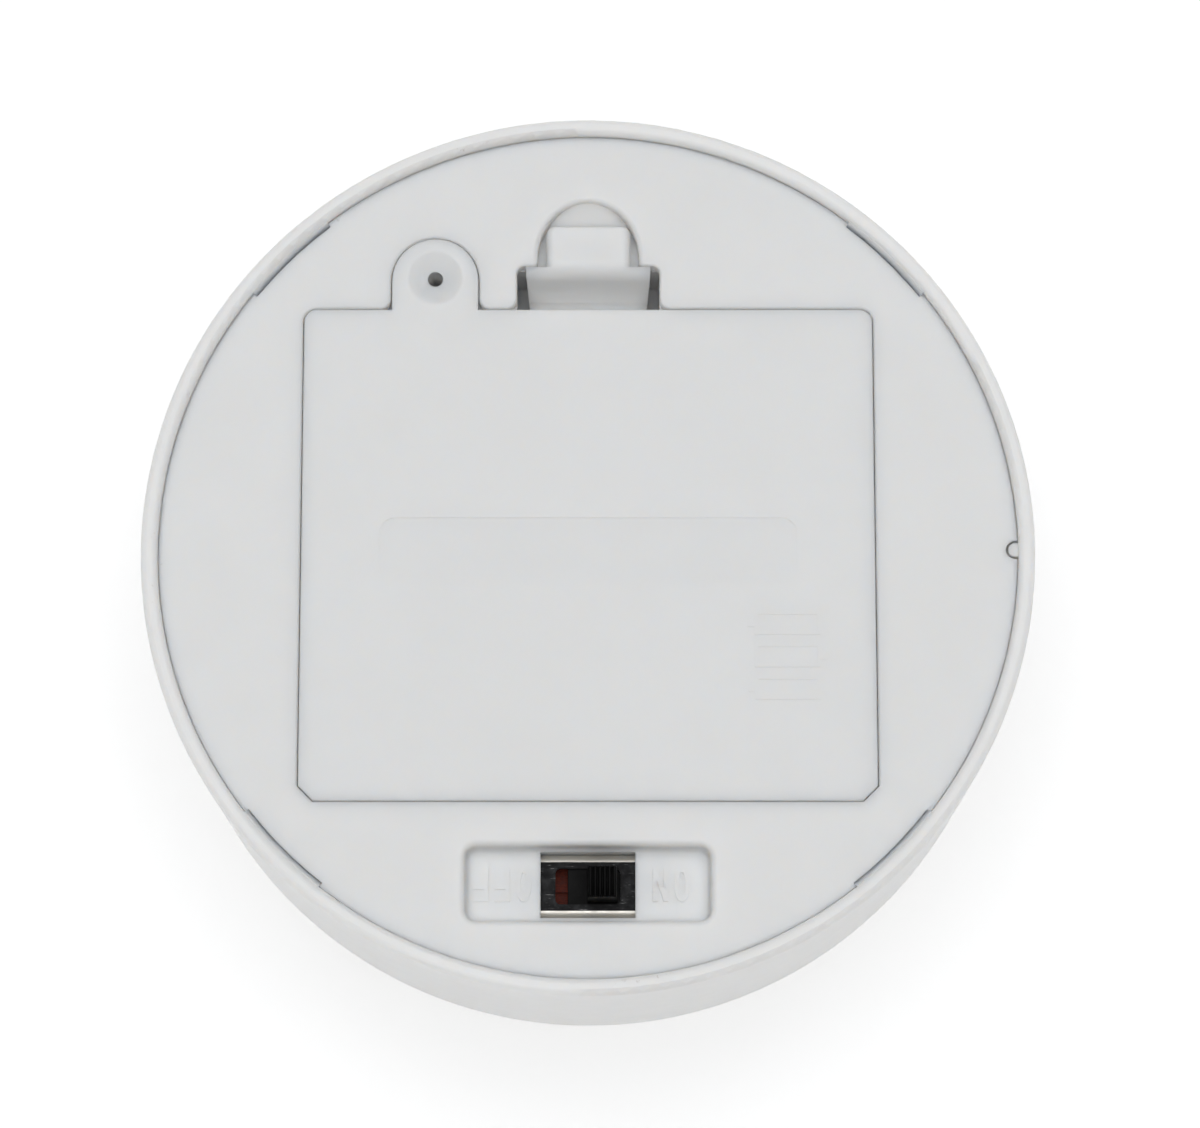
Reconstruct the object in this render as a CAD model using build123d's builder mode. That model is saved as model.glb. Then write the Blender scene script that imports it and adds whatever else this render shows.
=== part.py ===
from build123d import *
import math
import os

# Round battery light, modelled lying on its light face with its base uppermost.
# Origin: centre of the rest plane under the light face. +Z leaves through the base,
# +Y points at the battery door's latch. Sizes are in millimetres.

os.makedirs("parts", exist_ok=True)

# --- driving dimensions -------------------------------------------------------------------
# Housing: a drafted cup whose rounded lip stands proud of the base.
LIP_OUTER_R = 45.0
BODY_H = 36.0
FACE_OUTER_R = 44.76
WALL_T = 1.7
FACE_T = 1.8
FACE_EDGE_R = 3.5
FACE_OPENING_R = 35.0
LIP_EDGE_R = 0.65

# Base plate, and its height below the crest of the lip.
PLATE_DROP = 0.95
PLATE_T = 1.6
PLATE_TOP = BODY_H - PLATE_DROP
PLATE_UNDER = PLATE_TOP - PLATE_T
PLATE_R = 43.25
LIP_INNER_R = LIP_OUTER_R - WALL_T

# Snap lugs over the plate's edge, and the rib that keys the plate's angle.
LUG_ANGLES = (45, 135, 225, 315)
LUG_ARC = 14
LUG_REACH = 0.5
LUG_H = 0.55
RIB_W = 1.4
RIB_TIP_R = 42.3
RIB_GAP = 0.23

# Battery door, its screw tab and its seat.
DOOR_W = 57.8
DOOR_Y_LOW = -25.5
DOOR_Y_HIGH = 25.0
DOOR_T = 1.5
DOOR_UNDER = PLATE_TOP - DOOR_T
DOOR_GAP = 0.1
DOOR_CORNER_R = 1.3
DOOR_CORNER_CUT = 1.5
MOUTH_R = 1.1
EDGE_R = 0.12
TAB_X = -15.6
TAB_R = 4.4
TAB_Y = 28.05
SCREW_Y = 28.38
SCREW_HOLE_R = 0.78
DISH_R = 2.8
DISH_DEPTH = 0.75
DISH_RIM_R = 0.6
SEAT_Z = DOOR_UNDER - 0.05

# Toes that hook the door's lower edge under the plate.
TOE_XS = (-15, 15)
TOE_W = 8.0
TOE_REACH = 1.7
TOE_T = 1.1
TOE_ROOT = 1.4
TOE_DROP = 0.25

# Sprung latch: a U bent down from the door's upper edge, ending in a thumb pad.
LATCH_W = 12.74
LATCH_W_LOW = 12.0
LATCH_T = 1.0
LATCH_BEND_R = 1.0
LATCH_BEND_Z = 30.2
LATCH_BEND_Y = DOOR_Y_HIGH + LATCH_BEND_R
LATCH_LEAN = 0.386
LATCH_ROLL_R = 2.0
LATCH_SPLIT = 3
SHOULDER_Y = 29.55
PAD_W = 8.6
PAD_END_Y = 33.83
PAD_T = 1.15
PAD_CORNER_R = 0.9
PAD_EDGE_R = 0.3
PAD_ROOT_R = 0.5
SLOT_W = 14.56
SLOT_Y = 29.62
SLOT_CORNER_R = 0.8
SLOT_RIM_R = 0.25
WELL_FLOOR_Z = 26.6
WELL_WALL = 1.0

# Finger scoop beyond the thumb pad.
SCOOP_HALF_W = 5.15
SCOOP_Y = 30.6
SCOOP_TOP_Y = 36.4
SCOOP_DEPTH = 2.2
SCOOP_FLAT_Y = 33.6
SCOOP_STEP = 0.6
SCOOP_RIM_R = 0.5

# Battery bay: three cells side by side along X.
BAY_X = 27.9
BAY_Y = 22.6
BAY_FLOOR_Z = 18.6
BAY_WALL = 1.1
BAY_END_WALL = 1.2
BAY_BASE_T = 1.4
SEAT_T = 1.8
CELL_PITCH = 15.0
CELL_Z = 26.0
CELL_LENGTH = 50.5
CELL_CAN_R = 6.95
CELL_JACKET_R = 7.15
NUB_R = 2.75
NUB_H = 1.5

# Contacts of nickelled strip, with cone springs at the negative ends.
STRIP_T = 0.4
CONTACT_H = 9.0
CONTACT_W = 9.0
CONTACT_CORNER_R = 1.0
TAIL_W = 2.0
TAIL_X = 31.4
TAIL_Z = 25.0
SPRING_WIRE = 0.55

# Slide switch in its pocket.
POCKET_W = 24.5
POCKET_Y_LOW = -37.5
POCKET_Y_HIGH = -29.94
POCKET_DEPTH = 2.5
POCKET_CORNER_R = 1.2
POCKET_FLOOR_T = 1.1
POCKET_RIM_R = 0.6
POCKET_FLOOR_R = 0.45
SWITCH_Y = -33.6
WINDOW_W = 9.46
WINDOW_L = 6.6
FRAME_L = 12.4
FRAME_W = 6.5
FRAME_T = 0.4
FRAME_DEPTH = 4.0
FRAME_SLOT_L = 6.5
FRAME_SLOT_W = 3.6
FRAME_SLOT_R = 0.5
EAR_X = 8.4
EAR_R = 1.9
POST_R = 0.9
KNOB_X = 1.45
KNOB_L = 3.1
KNOB_BASE_W = 3.4
KNOB_RISE = 4.2
KNOB_DRAFT = 0.12
SLIDER_L = 6.95
SLIDER_T = 1.2
TERMINAL_XS = (0, 2.5)

# Light engine: board, reflector and lens.
BOARD_R = 34.5
BOARD_T = 1.6
BOARD_TOP = 14.8
LED_COUNT = 6
LED_RING_R = 18.0
STANDOFF_RING_R = 20.0
STANDOFF_R = 2.6
PILOT_R = 0.8
LENS_RECESS = 0.4
LENS_T = 2.6
LENS_FLANGE_R = 37.0
LEAD_R = 0.65

FIT = 0.05
OVERSHOOT = 0.2


def save(piece, name):
    """Label a finished piece and write its file."""
    piece.part.label = name
    export_step(piece.part, f"parts/{name}.step")


def slab(x_low, x_high, y_low, y_high, z_low, z_high, mode=Mode.ADD):
    """Add or cut a box given by its limits."""
    middle = ((x_low + x_high) / 2, (y_low + y_high) / 2, (z_low + z_high) / 2)
    with Locations(middle):
        Box(x_high - x_low, y_high - y_low, z_high - z_low, mode=mode)


# --- outlines that the door and the plate share -------------------------------------------
DOOR_MID_Y = (DOOR_Y_LOW + DOOR_Y_HIGH) / 2
DOOR_L = DOOR_Y_HIGH - DOOR_Y_LOW
# The tab starts this far inside the panel, so that the two always join.
TAB_ROOT = 2.0

with BuildSketch() as door_panel:
    with Locations((0, DOOR_MID_Y)):
        Rectangle(DOOR_W, DOOR_L)
    fillet(door_panel.vertices().group_by(Axis.Y)[-1], radius=DOOR_CORNER_R)
    chamfer(door_panel.vertices().group_by(Axis.Y)[0], length=DOOR_CORNER_CUT)

with BuildSketch() as door_tab:
    tab_base_y = DOOR_Y_HIGH - TAB_ROOT
    with Locations((TAB_X, (tab_base_y + TAB_Y) / 2)):
        Rectangle(2 * TAB_R, TAB_Y - tab_base_y)
    with Locations((TAB_X, TAB_Y)):
        Circle(TAB_R)

with BuildSketch() as door_outline:
    add(door_panel.sketch)
    add(door_tab.sketch)

# The plate's opening: the door's outline grown by the gap, with the latch slot.
with BuildSketch() as door_opening:
    add(door_outline.sketch)
    offset(amount=DOOR_GAP, kind=Kind.INTERSECTION)
    with Locations((0, (tab_base_y + SLOT_Y) / 2)):
        Rectangle(SLOT_W, SLOT_Y - tab_base_y)
    mouth_y = DOOR_Y_HIGH + DOOR_GAP
    tab_side = TAB_R + DOOR_GAP
    for mouth_x in (TAB_X - tab_side, TAB_X + tab_side, -SLOT_W / 2, SLOT_W / 2):
        fillet(door_opening.vertices().sort_by_distance((mouth_x, mouth_y))[0], radius=MOUTH_R)
    for slot_side in (-1, 1):
        slot_corner = (slot_side * SLOT_W / 2, SLOT_Y)
        fillet(door_opening.vertices().sort_by_distance(slot_corner)[0], radius=SLOT_CORNER_R)


# --- housing shell ------------------------------------------------------------------------
LEDGE_REACH = 1.7
LEDGE_T = 0.9
LENS_MOUTH_R = 0.4
FACE_INNER_R = FACE_OUTER_R - WALL_T

with BuildPart() as housing_shell:
    with BuildSketch(Plane.XZ) as wall_section:
        ledge_r = LIP_INNER_R - LEDGE_REACH
        with BuildLine():
            Polyline(
                (FACE_OPENING_R, 0),
                (FACE_OUTER_R, 0),
                (LIP_OUTER_R, BODY_H),
                (LIP_INNER_R, BODY_H),
                (LIP_INNER_R, PLATE_UNDER),
                (ledge_r, PLATE_UNDER),
                (ledge_r, PLATE_UNDER - LEDGE_T),
                (LIP_INNER_R, PLATE_UNDER - LEDGE_T - LEDGE_REACH),
                (FACE_INNER_R, FACE_T),
                (FACE_OPENING_R, FACE_T),
                close=True,
            )
        make_face()
        face_corner = wall_section.vertices().sort_by_distance((FACE_OUTER_R, 0))[0]
        fillet(face_corner, radius=FACE_EDGE_R)
        fillet(wall_section.vertices().sort_by_distance((LIP_OUTER_R, BODY_H))[0], radius=LIP_EDGE_R)
        fillet(wall_section.vertices().sort_by_distance((LIP_INNER_R, BODY_H))[0], radius=LIP_EDGE_R)
        inner_corner = wall_section.vertices().sort_by_distance((FACE_INNER_R, FACE_T))[0]
        fillet(inner_corner, radius=FACE_EDGE_R - WALL_T)
        lens_edge = wall_section.vertices().sort_by_distance((FACE_OPENING_R, 0))[0]
        fillet(lens_edge, radius=LENS_MOUTH_R)
    revolve(axis=Axis.Z)
    for angle in LUG_ANGLES:
        lug_start = Plane.XZ.rotated((0, 0, angle - LUG_ARC / 2))
        with BuildSketch(lug_start):
            with BuildLine():
                root_r = LIP_INNER_R + OVERSHOOT
                Polyline(
                    (root_r, PLATE_TOP),
                    (LIP_INNER_R - LUG_REACH, PLATE_TOP),
                    (LIP_INNER_R, PLATE_TOP + LUG_H),
                    (root_r, PLATE_TOP + LUG_H),
                    close=True,
                )
            make_face()
        revolve(axis=Axis.Z, revolution_arc=LUG_ARC)
    with BuildSketch(Plane.XY.offset(PLATE_UNDER - LEDGE_T)):
        rib_centre = RIB_TIP_R + RIB_W / 2
        with Locations((rib_centre, 0)):
            Circle(RIB_W / 2)
        with Locations(((rib_centre + LIP_INNER_R + OVERSHOOT) / 2, 0)):
            Rectangle(LIP_INNER_R + OVERSHOOT - rib_centre, RIB_W)
    extrude(amount=PLATE_T + LEDGE_T + FIT)


# --- base plate ---------------------------------------------------------------------------
SEAT_MARGIN_X = 1.6
SEAT_MARGIN_Y = 1.7
SEAT_MARGIN_LOW = 2.3
POCKET_MARGIN = 1.2
POCKET_FLOOR = PLATE_TOP - POCKET_DEPTH
POCKET_UNDER = POCKET_FLOOR - POCKET_FLOOR_T
POCKET_MID_Y = (POCKET_Y_LOW + POCKET_Y_HIGH) / 2
SCOOP_BLOCK_T = 1.2
BOSS_R = 2.7
BOSS_DEPTH = 9.0
PILOT_EXTRA = 0.6
RAIL_T = 1.0
RAIL_DROP = 3.0
RAIL_ROOT = 0.5
TOE_NOTCH_GAP = 0.4
CELL_RIB_X = 23.9
CELL_RIB_T = 0.9
CELL_RIB_H = 2.2
POST_HEAD_R = 1.6
POST_HEAD_H = 0.8
LEGEND_RISE = 0.25
LEGEND_H = 3.4
STROKE = 0.46
LETTER_W = 1.55
LETTER_PITCH = 2.15


def letter(kind, centre_x):
    """Draw one plain letter of the switch legend, upright, centred on centre_x."""
    half_h = LEGEND_H / 2
    half_w = LETTER_W / 2
    with Locations((centre_x, 0)):
        if kind == "O":
            Ellipse(half_w, half_h)
            Ellipse(half_w - STROKE, half_h - STROKE, mode=Mode.SUBTRACT)
    if kind == "F":
        with Locations((centre_x - half_w + STROKE / 2, 0)):
            Rectangle(STROKE, LEGEND_H)
        with Locations((centre_x, half_h - STROKE / 2), (centre_x, STROKE / 2)):
            Rectangle(LETTER_W, STROKE)
    if kind == "N":
        with Locations((centre_x - half_w + STROKE / 2, 0), (centre_x + half_w - STROKE / 2, 0)):
            Rectangle(STROKE, LEGEND_H)
        with BuildLine() as diagonal:
            Polyline(
                (centre_x - half_w, half_h),
                (centre_x - half_w + STROKE, half_h),
                (centre_x + half_w, -half_h),
                (centre_x + half_w - STROKE, -half_h),
                close=True,
            )
        make_face(diagonal.edges())


# The legends are read from the far side of the device, so both are turned half round.
with BuildSketch() as off_legend:
    letter("O", -LETTER_PITCH)
    letter("F", 0)
    letter("F", LETTER_PITCH)
with BuildSketch() as on_legend:
    letter("O", -LETTER_PITCH / 2)
    letter("N", LETTER_PITCH / 2)
LEGENDS = ((off_legend, -8.55), (on_legend, 8.3))

# The scoop's cutter: an arch whose floor ramps up to the plate's surface.
with BuildPart() as scoop_cut:
    with BuildSketch(Plane.XY.offset(PLATE_TOP - SCOOP_DEPTH)):
        with Locations((0, SCOOP_Y)):
            Ellipse(SCOOP_HALF_W, SCOOP_TOP_Y - SCOOP_Y)
        with Locations((0, (SLOT_Y + SCOOP_Y) / 2 - OVERSHOOT)):
            Rectangle(2 * SCOOP_HALF_W, SCOOP_Y - SLOT_Y + 2 * OVERSHOOT)
        slab_y = SLOT_Y - OVERSHOOT
        with Locations((0, slab_y - SCOOP_HALF_W)):
            Rectangle(SLOT_W, 2 * SCOOP_HALF_W, mode=Mode.SUBTRACT)
    extrude(amount=SCOOP_DEPTH + OVERSHOOT)
    ramp_run = SCOOP_TOP_Y - SCOOP_FLAT_Y
    ramp = Plane(
        origin=(0, SCOOP_FLAT_Y, PLATE_TOP - SCOOP_DEPTH),
        x_dir=(1, 0, 0),
        z_dir=(0, SCOOP_STEP - SCOOP_DEPTH, ramp_run),
    )
    split(bisect_by=ramp, keep=Keep.TOP)

with BuildPart() as base_plate:
    # Disc with the keyway for the housing's rib.
    with BuildSketch(Plane.XY.offset(PLATE_UNDER)):
        Circle(PLATE_R)
        with Locations((rib_centre, 0)):
            Circle(RIB_W / 2 + RIB_GAP, mode=Mode.SUBTRACT)
        with Locations((PLATE_R, 0)):
            Rectangle(2 * (PLATE_R - rib_centre), RIB_W + 2 * RIB_GAP, mode=Mode.SUBTRACT)
    extrude(amount=PLATE_T)
    # Door seat, battery tub, latch well, scoop and pocket blocks, screw boss.
    seat_x = DOOR_W / 2 + SEAT_MARGIN_X
    slab(
        -seat_x, seat_x, DOOR_Y_LOW - SEAT_MARGIN_LOW, DOOR_Y_HIGH + SEAT_MARGIN_Y,
        SEAT_Z - SEAT_T, PLATE_UNDER + FIT,
    )
    tub_x = BAY_X + BAY_END_WALL
    tub_y = BAY_Y + BAY_WALL
    slab(-tub_x, tub_x, -tub_y, tub_y, BAY_FLOOR_Z - BAY_BASE_T, SEAT_Z)
    well_x = SLOT_W / 2 + WELL_WALL
    slab(
        -well_x, well_x, tub_y - OVERSHOOT, SLOT_Y + OVERSHOOT + WELL_WALL,
        WELL_FLOOR_Z - WELL_WALL, PLATE_UNDER + FIT,
    )
    with BuildSketch(Plane.XY.offset(PLATE_TOP - SCOOP_DEPTH - SCOOP_BLOCK_T)):
        with Locations((0, SCOOP_Y)):
            Ellipse(SCOOP_HALF_W + SCOOP_BLOCK_T, SCOOP_TOP_Y - SCOOP_Y + SCOOP_BLOCK_T)
    extrude(amount=SCOOP_BLOCK_T + OVERSHOOT + SCOOP_DEPTH - PLATE_T)
    pocket_x = POCKET_W / 2 + POCKET_MARGIN
    slab(
        -pocket_x, pocket_x, POCKET_Y_LOW - POCKET_MARGIN, POCKET_Y_HIGH + POCKET_MARGIN,
        POCKET_UNDER, PLATE_UNDER + FIT,
    )
    with Locations((TAB_X, SCREW_Y, SEAT_Z - BOSS_DEPTH)):
        Cylinder(BOSS_R, BOSS_DEPTH, align=(Align.CENTER, Align.CENTER, Align.MIN))
    with Locations((TAB_X, TAB_Y, SEAT_Z - SEAT_T)):
        Cylinder(TAB_R + 1, SEAT_T, align=(Align.CENTER, Align.CENTER, Align.MIN))
    # Door opening down to the seat, bay, and latch well.
    with BuildSketch(Plane.XY.offset(SEAT_Z)):
        add(door_opening.sketch)
    extrude(amount=PLATE_TOP - SEAT_Z + OVERSHOOT, mode=Mode.SUBTRACT)
    slab(-BAY_X, BAY_X, -BAY_Y, BAY_Y, BAY_FLOOR_Z, PLATE_TOP, mode=Mode.SUBTRACT)
    slab(
        -SLOT_W / 2, SLOT_W / 2, tub_y, SLOT_Y - OVERSHOOT, WELL_FLOOR_Z, SEAT_Z + FIT,
        mode=Mode.SUBTRACT,
    )
    slab(
        -SLOT_W / 2 + SLOT_CORNER_R, SLOT_W / 2 - SLOT_CORNER_R, SLOT_Y - 1, SLOT_Y,
        WELL_FLOOR_Z, SEAT_Z + FIT, mode=Mode.SUBTRACT,
    )
    # Softened edges round the latch slot.
    slot_edges = base_plate.edges().filter_by_position(Axis.Z, PLATE_TOP - FIT, PLATE_TOP + FIT)
    slot_edges = slot_edges.filter_by_position(Axis.X, -SLOT_W / 2 - MOUTH_R, SLOT_W / 2 + MOUTH_R)
    slot_edges = slot_edges.filter_by_position(Axis.Y, DOOR_Y_HIGH, SLOT_Y + FIT)
    fillet(slot_edges, radius=SLOT_RIM_R)
    # Notches for the door's toes, open towards the bay.
    for toe_x in TOE_XS:
        half = TOE_W / 2 + TOE_NOTCH_GAP
        slab(
            toe_x - half, toe_x + half, DOOR_Y_LOW - TOE_REACH - TOE_NOTCH_GAP,
            -BAY_Y + TOE_NOTCH_GAP, SEAT_Z - SEAT_T - OVERSHOOT, PLATE_UNDER,
            mode=Mode.SUBTRACT,
        )
        slab(
            toe_x - half, toe_x + half, DOOR_Y_LOW - DOOR_GAP, -BAY_Y + TOE_NOTCH_GAP,
            SEAT_Z - SEAT_T, SEAT_Z + FIT, mode=Mode.SUBTRACT,
        )
    # Finger scoop.
    add(scoop_cut.part, mode=Mode.SUBTRACT)
    top_edges = base_plate.edges().filter_by_position(Axis.Z, PLATE_TOP - FIT, PLATE_TOP + FIT)
    scoop_rim = top_edges.filter_by_position(Axis.X, -SCOOP_HALF_W - FIT, SCOOP_HALF_W + FIT)
    scoop_rim = scoop_rim.filter_by_position(Axis.Y, SLOT_Y + FIT, SCOOP_TOP_Y + FIT)
    fillet(scoop_rim, radius=SCOOP_RIM_R)
    # Switch pocket, with a soft rim and floor, and its window.
    with BuildSketch(Plane.XY.offset(POCKET_FLOOR)):
        with Locations((0, POCKET_MID_Y)):
            RectangleRounded(POCKET_W, POCKET_Y_HIGH - POCKET_Y_LOW, POCKET_CORNER_R)
    extrude(amount=POCKET_DEPTH + OVERSHOOT, mode=Mode.SUBTRACT)
    pocket_edges = base_plate.edges().filter_by(Plane.XY).filter_by_position(
        Axis.Y, POCKET_Y_LOW - FIT, POCKET_Y_HIGH + FIT
    )
    rim_edges = pocket_edges.filter_by_position(Axis.Z, PLATE_TOP - FIT, PLATE_TOP + FIT)
    rim_edges = rim_edges.filter_by_position(Axis.X, -POCKET_W / 2 - FIT, POCKET_W / 2 + FIT)
    fillet(rim_edges, radius=POCKET_RIM_R)
    floor_edges = base_plate.edges().filter_by_position(Axis.Z, POCKET_FLOOR - FIT, POCKET_FLOOR + FIT)
    fillet(floor_edges.filter_by(Plane.XY), radius=POCKET_FLOOR_R)
    slab(
        -WINDOW_W / 2, WINDOW_W / 2, SWITCH_Y - WINDOW_L / 2, SWITCH_Y + WINDOW_L / 2,
        POCKET_UNDER - OVERSHOOT, POCKET_FLOOR + FIT, mode=Mode.SUBTRACT,
    )
    # Raised legends on the pocket's floor.
    for legend, legend_x in LEGENDS:
        with BuildSketch(Plane.XY.offset(POCKET_FLOOR)):
            with Locations((legend_x, SWITCH_Y)):
                add(legend.sketch, rotation=180)
        extrude(amount=LEGEND_RISE)
    # Rails beside the switch, and the posts staked over its ears.
    for side in (-1, 1):
        rail_in = SWITCH_Y + side * (FRAME_W / 2 + FIT)
        rail_step = SWITCH_Y + side * WINDOW_L / 2
        rail_out = rail_step + side * RAIL_T
        y_limits = sorted((rail_in, rail_out))
        slab(-FRAME_L / 2, FRAME_L / 2, *y_limits, POCKET_UNDER - RAIL_DROP, POCKET_UNDER - FRAME_T)
        y_limits = sorted((rail_step, rail_out))
        slab(-FRAME_L / 2, FRAME_L / 2, *y_limits, POCKET_UNDER - RAIL_ROOT, POCKET_UNDER + FIT)
    stake_z = POCKET_UNDER - FRAME_T - 2 * FIT
    with Locations((-EAR_X, SWITCH_Y, stake_z), (EAR_X, SWITCH_Y, stake_z)):
        Cylinder(POST_R, POCKET_UNDER - stake_z + FIT, align=(Align.CENTER, Align.CENTER, Align.MIN))
        Cylinder(POST_HEAD_R, POST_HEAD_H, align=(Align.CENTER, Align.CENTER, Align.MAX))
    # Ribs between the cells, slots for the contact tails.
    for rib_side in (-0.5, 0.5):
        rib_y = rib_side * CELL_PITCH
        slab(
            -CELL_RIB_X, CELL_RIB_X, rib_y - CELL_RIB_T / 2, rib_y + CELL_RIB_T / 2,
            BAY_FLOOR_Z - FIT, BAY_FLOOR_Z + CELL_RIB_H,
        )
    for tail_side in (-1, 1):
        with Locations((tail_side * (BAY_X + BAY_END_WALL / 2), tail_side * CELL_PITCH, TAIL_Z)):
            Box(BAY_END_WALL + 1, TAIL_W + OVERSHOOT, STRIP_T + OVERSHOOT, mode=Mode.SUBTRACT)
    # Standoffs for the board under the tub, with pilot holes.
    tub_under = BAY_FLOOR_Z - BAY_BASE_T
    with Locations((0, 0, BOARD_TOP)):
        with PolarLocations(STANDOFF_RING_R, 3, start_angle=90):
            Cylinder(
                STANDOFF_R, tub_under - BOARD_TOP + FIT, align=(Align.CENTER, Align.CENTER, Align.MIN)
            )
    with Locations((0, 0, BOARD_TOP)):
        with PolarLocations(STANDOFF_RING_R, 3, start_angle=90):
            Cylinder(
                PILOT_R, tub_under - BOARD_TOP + PILOT_EXTRA,
                align=(Align.CENTER, Align.CENTER, Align.MIN), mode=Mode.SUBTRACT,
            )
    with Locations((TAB_X, SCREW_Y, SEAT_Z)):
        top_down = (Align.CENTER, Align.CENTER, Align.MAX)
        Cylinder(SCREW_HOLE_R, BOSS_DEPTH - 1, align=top_down, mode=Mode.SUBTRACT)


# --- battery door -------------------------------------------------------------------------
MARK_RISE = 0.12
CELL_MARK_L = 6.6
CELL_MARK_W = 2.4
MARK_LINE = 0.34
MARK_X = 20.0
MARK_PITCH = 3.3
MARK_Y = -10.8
PANEL_MARK = (42, 6.6)
PANEL_MARK_R = 1.5


def latch_taper():
    """Keep only what lies between the latch's sides, which narrow downwards."""
    with BuildSketch(Plane.XZ.offset(-PAD_END_Y - 1)) as taper:
        with BuildLine():
            low = LATCH_BEND_Z - LATCH_BEND_R - LATCH_T
            Polyline(
                (-LATCH_W / 2, PLATE_TOP),
                (LATCH_W / 2, PLATE_TOP),
                (LATCH_W_LOW / 2, low),
                (-LATCH_W_LOW / 2, low),
                close=True,
            )
        make_face()
    extrude(taper.sketch, amount=PAD_END_Y, mode=Mode.INTERSECT)


# Inner leg and the door's half of the bend.
bend = (LATCH_BEND_Y, LATCH_BEND_Z)
bend_outer_r = LATCH_BEND_R + LATCH_T

with BuildPart() as latch_root:
    with BuildSketch(Plane.YZ):
        with BuildLine():
            inner = CenterArc(bend, LATCH_BEND_R, 180, 90 - LATCH_SPLIT)
            outer = CenterArc(bend, bend_outer_r, 180, 90 - LATCH_SPLIT)
            Line(inner @ 1, outer @ 1)
            Polyline(
                outer @ 0,
                (LATCH_BEND_Y - bend_outer_r, DOOR_UNDER + FIT),
                (LATCH_BEND_Y - LATCH_BEND_R, DOOR_UNDER + FIT),
                inner @ 0,
            )
        make_face()
    extrude(amount=LATCH_W / 2, both=True)
    latch_taper()

with BuildPart() as battery_door:
    with BuildSketch(Plane.XY.offset(DOOR_UNDER)):
        add(door_outline.sketch)
    extrude(amount=DOOR_T)
    fillet(battery_door.edges().group_by(Axis.Z)[-1], radius=EDGE_R)
    # Smooth dish round the screw hole.
    dish_sphere_r = (DISH_R**2 + DISH_DEPTH**2) / (2 * DISH_DEPTH)
    with Locations((TAB_X, SCREW_Y, PLATE_TOP + dish_sphere_r - DISH_DEPTH)):
        Sphere(dish_sphere_r, mode=Mode.SUBTRACT)
    circles = battery_door.edges().filter_by(GeomType.CIRCLE)
    fillet(circles.filter_by(lambda edge: abs(edge.radius - DISH_R) < FIT), radius=DISH_RIM_R)
    with Locations((TAB_X, SCREW_Y, PLATE_TOP)):
        Hole(SCREW_HOLE_R, depth=DOOR_T)
    add(latch_root.part)
    # Toes under the lower edge.
    for toe_x in TOE_XS:
        toe_low_z = PLATE_UNDER - TOE_DROP - TOE_T
        slab(
            toe_x - TOE_W / 2, toe_x + TOE_W / 2, DOOR_Y_LOW + OVERSHOOT, DOOR_Y_LOW + TOE_ROOT,
            toe_low_z, DOOR_UNDER + FIT,
        )
        slab(
            toe_x - TOE_W / 2, toe_x + TOE_W / 2, DOOR_Y_LOW - TOE_REACH, DOOR_Y_LOW + TOE_ROOT,
            toe_low_z, toe_low_z + TOE_T,
        )
    # Blank sunk panel, and a raised plan of three cells laid in alternate directions.
    with BuildSketch(Plane.XY.offset(PLATE_TOP - MARK_RISE)):
        RectangleRounded(*PANEL_MARK, PANEL_MARK_R)
    extrude(amount=MARK_RISE + FIT, mode=Mode.SUBTRACT)
    with BuildSketch(Plane.XY.offset(PLATE_TOP)):
        for row in (-1, 0, 1):
            nub_side = 1 if row == 0 else -1
            with Locations((MARK_X, MARK_Y + row * MARK_PITCH)):
                Rectangle(CELL_MARK_L, CELL_MARK_W)
                Rectangle(
                    CELL_MARK_L - 2 * MARK_LINE, CELL_MARK_W - 2 * MARK_LINE, mode=Mode.SUBTRACT
                )
            nub_x = MARK_X + nub_side * (CELL_MARK_L / 2 + MARK_LINE)
            with Locations((nub_x, MARK_Y + row * MARK_PITCH)):
                Rectangle(2 * MARK_LINE, CELL_MARK_W / 3)
    extrude(amount=MARK_RISE)


# --- door latch: the outer leg and thumb pad ----------------------------------------------
PAD_UNDER = PLATE_TOP - PAD_T
lean_base_y = LATCH_BEND_Y + LATCH_BEND_R
lean_top_y = lean_base_y + LATCH_LEAN * (PLATE_TOP - LATCH_BEND_Z)
back_y = lean_base_y + LATCH_T + LATCH_LEAN * (PAD_UNDER - LATCH_BEND_Z)

with BuildPart() as door_latch:
    with BuildSketch(Plane.YZ) as tongue_section:
        with BuildLine():
            inner = CenterArc(bend, LATCH_BEND_R, 270, 90)
            outer = CenterArc(bend, bend_outer_r, 270, 90)
            Line(inner @ 0, outer @ 0)
            Polyline(
                inner @ 1,
                (lean_top_y, PLATE_TOP),
                (PAD_END_Y, PLATE_TOP),
                (PAD_END_Y, PAD_UNDER),
                (back_y, PAD_UNDER),
                outer @ 1,
            )
        make_face()
        tip = tongue_section.vertices().sort_by_distance((lean_top_y, PLATE_TOP))[0]
        fillet(tip, radius=LATCH_ROLL_R)
        pad_tip = tongue_section.vertices().sort_by_distance((PAD_END_Y, PLATE_TOP))[0]
        fillet(pad_tip, radius=PAD_EDGE_R)
        armpit = tongue_section.vertices().sort_by_distance((back_y, PAD_UNDER))[0]
        fillet(armpit, radius=PAD_ROOT_R)
    extrude(amount=LATCH_W / 2, both=True)
    latch_taper()
    # Trim the shoulders, so that only the narrower pad runs on past the slot.
    for side in (-1, 1):
        x_limits = sorted((side * PAD_W / 2, side * LATCH_W))
        slab(*x_limits, SHOULDER_Y, PAD_END_Y + 1, LATCH_BEND_Z, PLATE_TOP + 1, mode=Mode.SUBTRACT)
    upright = door_latch.edges().filter_by(Axis.Z).group_by(Axis.Y)[-1]
    fillet(upright, radius=PAD_CORNER_R)


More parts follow.
